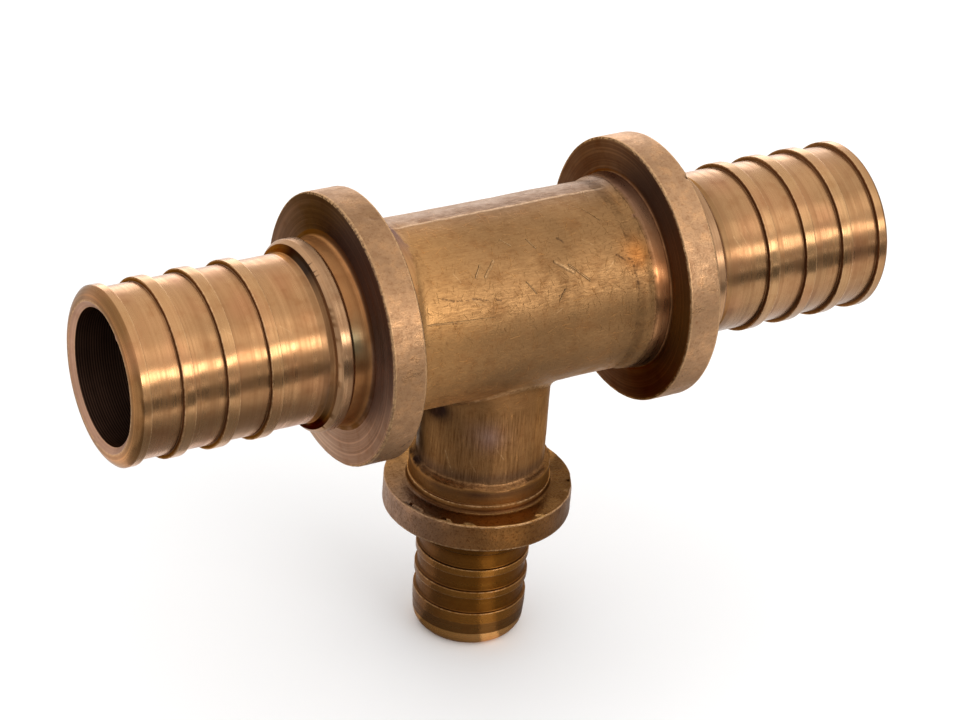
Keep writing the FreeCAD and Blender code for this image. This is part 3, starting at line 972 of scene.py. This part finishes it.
# The casting skin is streaky, more so on the neck, and grainy all over.
streaky = times(is_cast, plus(times(on_neck, ramp(wide, 0.3, 0.65, 0.2, 0.75)), 0.22))
streaky = times(streaky, calc("SUBTRACT", 1.0, is_rim))
color = tinted(color, times(ramp(streaks, 0.42, 0.68), streaky), (0.52, 0.44, 0.36))
color = tinted(color, times(ramp(streaks, 0.46, 0.28), streaky), (1.4, 1.34, 1.2))
color = tinted(color, times(ramp(fine, 0.54, 0.74, 0.0, 0.45), is_cast), (0.60, 0.50, 0.42))
# The rims are sandy, the branch's the most.
sandy = lumps(place, 3.6, detail=2.0, roughness=0.6)
pitted = times(is_rim, ramp(on_branch, 0.0, 1.0, 0.45, 1.0))
color = tinted(color, times(ramp(sandy, 0.50, 0.70, 0.0, 0.8), pitted), (0.56, 0.44, 0.32))
color = tinted(color, times(ramp(middle, 0.56, 0.30, 0.0, 0.6), is_rim), (1.35, 1.25, 1.1))
color = tinted(color, times(hairs, ramp(middle, 0.35, 0.62, 0.15, 0.85)), (1.6, 1.46, 1.2))
# Fine turning lines in the bore of the run.
turning = ramp(calc("SINE", times(X, 21.0)), -0.2, 0.9)
color = painted(color, times(turning, 0.6, ramp(run_radius, 8.1, 7.9)), (0.17, 0.09, 0.06))
# Dirt and painted shade darken the corners, and edges are rubbed bright.
dirt_and_shade = times(ramp(EDGE, -0.15, -0.95), ramp(middle, 0.30, 0.55, 0.45, 0.80))
color = painted(color, dirt_and_shade, (0.10, 0.040, 0.015))
worn = times(ramp(EDGE, 0.25, 0.95), ramp(fine, 0.38, 0.60, 0.10, 0.60))
worn = times(worn, ramp(middle, 0.35, 0.60, 0.45, 1.1))
color = painted(color, worn, (0.66, 0.40, 0.20))
# The mould seam along the top of the barrel: rubbed bright and with a painted highlight, and
# a strip of painted shade behind it.
seam_off = plus(calc("SUBTRACT", Y, 0.25), times(calc("SUBTRACT", middle, 0.5), 0.35))
on_top = times(ramp(Z, 8.0, 9.0), ramp(size_of(X), 14.5, 13.0))
seam = times(ramp(size_of(seam_off), 0.24, 0.08), on_top)
seam_shade = times(times(ramp(seam_off, 0.15, 0.4), ramp(seam_off, 2.6, 0.6)),
                    times(on_top, ramp(size_of(X), 13.5, 9.5)))
color = tinted(color, times(seam_shade, ramp(brush, 0.35, 0.6, 0.45, 0.8)), (0.62, 0.57, 0.56))
color = painted(color, times(seam, ramp(fine, 0.30, 0.60, 0.35, 0.85)), (0.66, 0.44, 0.28))
# The ragged foot of the casting skin is dark, more so on the right.
skin_end = times(ramp(size_of(CAST), 0.22, 0.0), ramp(fine, 0.35, 0.60, 0.2, 1.0))
skin_end = times(skin_end, times(ramp(middle, 0.42, 0.60, 0.25, 1.0),
                                 ramp(X, -6.0, 6.0, 0.3, 0.75)))
color = painted(color, times(skin_end, 0.8), (0.035, 0.016, 0.008))
# Bright scratches and dark gouges lie over everything.
color = painted(color, times(scratched, ramp(fine, 0.34, 0.62, 0.04, 0.50)), (0.58, 0.35, 0.17))
color = painted(color, times(gouged, 0.7), (0.06, 0.03, 0.016))

shader = tree.nodes.new("ShaderNodeBsdfPrincipled")
output = tree.nodes.new("ShaderNodeOutputMaterial")
tree.links.new(shader.outputs[0], output.inputs["Surface"])
tree.links.new(color, shader.inputs["Base Color"])
shader.inputs["Metallic"].default_value = 1.0
tree.links.new(blend(WHITE, (0.35, 0.22, 0.12), (1.0, 0.97, 0.94)),
               shader.inputs["Specular Tint"])
roughness = plus(ROUGH, times(ramp(middle, 0.3, 0.7, -0.05, 0.07),
                              ramp(CAST, -0.2, 0.1, 0.35, 1.0)))
roughness = plus(roughness, times(ramp(lathe_wide, 0.35, 0.65, -0.03, 0.05), is_turned))
roughness = plus(roughness, times(ramp(streaks, 0.3, 0.7, -0.06, 0.08), is_cast))
roughness = plus(roughness, times(ramp(lathe, 0.3, 0.7, -0.03, 0.04), is_turned))
tree.links.new(roughness, shader.inputs["Roughness"])

# Heights of the finest relief, in millimetres. More deep scratches than these would overfill
# the renderer's stack and turn the metal black.
LATHE_HEIGHT = 0.003
GRAIN_HEIGHT = 0.02
STREAK_HEIGHT = 0.018
SCRATCH_DEPTH = 0.07
HAIR_DEPTH = 0.02
SAND_HEIGHT = 0.045
WAVE_HEIGHT = 0.08
height = times(lathe, LATHE_HEIGHT, is_turned)
skin_grain = plus(times(fine, GRAIN_HEIGHT), times(streaks, STREAK_HEIGHT))
height = plus(height, times(skin_grain, is_cast))
height = calc("SUBTRACT", height, times(deep_scratches, SCRATCH_DEPTH))
height = calc("SUBTRACT", height, times(hairs, HAIR_DEPTH))
grainy = calc("MAXIMUM", pitted, times(on_branch, 0.7))
height = plus(height, times(sandy, grainy, SAND_HEIGHT))
height = plus(height, times(wide, WAVE_HEIGHT))
tree.links.new(node("ShaderNodeBump", {"Strength": 1.0, "Distance": mm, "Height": height}),
               shader.inputs["Normal"])

# The lathe lines spread each reflection across themselves, the brushed streaks across theirs.
round_axis = vector("CROSS_PRODUCT", axis, place)
across_lines = vector("CROSS_PRODUCT", node("ShaderNodeNewGeometry", out=1), round_axis)
grain = vector("NORMALIZE", choose_vector(is_cast, across_lines, round_axis))
tree.links.new(grain, shader.inputs["Tangent"])
shader.inputs["Anisotropic"].default_value = 0.7
solid.materials.clear()
solid.materials.append(bronze)

# The table that the tee stands on: a plain white sheet, matt, laid under the branch's mouth.
TABLE_SIDE = 6


def flat_sheet(name, width, depth, middle, turn=0):
    """A flat sheet, its middle at this place and then turned about Z; in metres and degrees."""
    bm = bmesh.new()
    bmesh.ops.create_grid(bm, x_segments=1, y_segments=1, size=0.5)
    bmesh.ops.scale(bm, vec=(width, depth, 1), verts=bm.verts)
    bmesh.ops.translate(bm, vec=middle, verts=bm.verts)
    bmesh.ops.rotate(bm, verts=bm.verts, cent=(0, 0, 0),
                     matrix=Matrix.Rotation(math.radians(turn), 3, "Z"))
    return as_object(bm, name)


def plain_material(name, level, roughness):
    """A plain grey of this level, 0 to 1."""
    made = bpy.data.materials.new(name)
    made.use_nodes = True
    surface = made.node_tree.nodes["Principled BSDF"]
    surface.inputs["Base Color"].default_value = (level, level, level, 1)
    surface.inputs["Roughness"].default_value = roughness
    return made


table = flat_sheet("table", TABLE_SIDE, TABLE_SIDE, (0, 0, -BRANCH_END * mm))
white = plain_material("white_sheet", 0.94, 0.8)
white.node_tree.nodes["Principled BSDF"].inputs["Specular IOR Level"].default_value = 0.0
table.data.materials.append(white)


# Studio light: a long softbox in front, a smaller one higher up, one low behind, and a pale room.
def direction(azimuth, elevation):
    """From the origin towards this azimuth and elevation, in degrees; azimuth 0 is the front."""
    a, e = math.radians(azimuth), math.radians(elevation)
    return Vector((math.sin(a) * math.cos(e), -math.cos(a) * math.cos(e), math.sin(e)))


def softbox(name, azimuth, elevation, distance, width, height, watts):
    """A rectangular lamp that faces the origin."""
    lamp = bpy.data.lights.new(name, "AREA")
    lamp.shape = "RECTANGLE"
    lamp.size = width
    lamp.size_y = height
    lamp.energy = watts
    made = bpy.data.objects.new(name, lamp)
    way = direction(azimuth, elevation)
    made.location = way * distance
    made.rotation_euler = way.to_track_quat("Z", "Y").to_euler()
    made.visible_camera = False
    bpy.context.scene.collection.objects.link(made)


softbox("front_strip", 19, 19, distance=0.9, width=0.58, height=0.18, watts=1.8)
softbox("upper_box", 42, 42, distance=0.9, width=0.45, height=0.35, watts=0.35)
softbox("back_light", 152, 2, distance=0.9, width=0.9, height=0.55, watts=2.8)

# The room is brighter behind the tee, and brightest overhead.
ROOM_LEVEL = 0.55
MORE_BEHIND = 0.48
OVERHEAD_LEVEL = 1.2
world = bpy.data.worlds.new("room")
world.use_nodes = True
bpy.context.scene.world = world
tree = world.node_tree
_, depth_way, up_way = parts(node("ShaderNodeTexCoord"))
overhead = ramp(up_way, 0.05, 0.75)
around_level = plus(times(ramp(depth_way, -0.5, 0.5), MORE_BEHIND), ROOM_LEVEL)
level = plus(times(around_level, calc("SUBTRACT", 1.0, overhead)), times(overhead, OVERHEAD_LEVEL))
tree.links.new(level, tree.nodes["Background"].inputs["Strength"])
tree.nodes["Background"].inputs["Color"].default_value = (1, 1, 1, 1)

# Grey cards beside the foot, which only the metal's reflections see, leave a bright column
# between them. Each is (degrees round from the front at which it starts, half of its side).
GREY_CARDS = ((-101, 40), (13, 22))
GREY_CARD_HEIGHT = -44.9
grey = plain_material("grey_card", 0.35, 0.9)
for number, (start, half_side) in enumerate(GREY_CARDS):
    side = 2 * half_side * mm
    near = flat_sheet(f"grey_card_{number + 1}", side, side,
                      Vector((half_side, half_side, GREY_CARD_HEIGHT)) * mm, turn=start - 90)
    near.data.materials.append(grey)
    near.visible_camera = near.visible_shadow = near.visible_diffuse = False

# A dark card lies on the table in front, out of the picture. Only reflections see it too.
card = flat_sheet("dark_card", 1.1, 0.40, (0.25, -0.30, -44.5 * mm))
card.data.materials.append(plain_material("black_card", 0.09, 0.9))
card.visible_camera = card.visible_shadow = card.visible_diffuse = False

# The photograph's viewpoint: a long lens, from the left and above, with the camera tilted.
VIEW_AZIMUTH = -31.364
VIEW_ELEVATION = 30.037
VIEW_ROLL = 4.595
CAMERA_PLACE = Vector((-174.116, -284.021, 183.922))
back_way = direction(VIEW_AZIMUTH, VIEW_ELEVATION)
right = (-back_way).cross(Vector((0, 0, 1))).normalized()
up = right.cross(-back_way)
roll = math.radians(VIEW_ROLL)
tilted_right = right * math.cos(roll) + up * math.sin(roll)
tilted_up = up * math.cos(roll) - right * math.sin(roll)
camera_data = bpy.data.cameras.new("camera")
camera_data.lens = 123.419
camera_data.sensor_width = 36
camera_data.clip_start = 0.01
camera = bpy.data.objects.new("camera", camera_data)
turned = Matrix((tilted_right, tilted_up, back_way)).transposed().to_4x4()
camera.matrix_world = Matrix.Translation(CAMERA_PLACE * mm) @ turned
bpy.context.scene.collection.objects.link(camera)
bpy.context.scene.camera = camera
bpy.context.scene.view_settings.view_transform = "Standard"
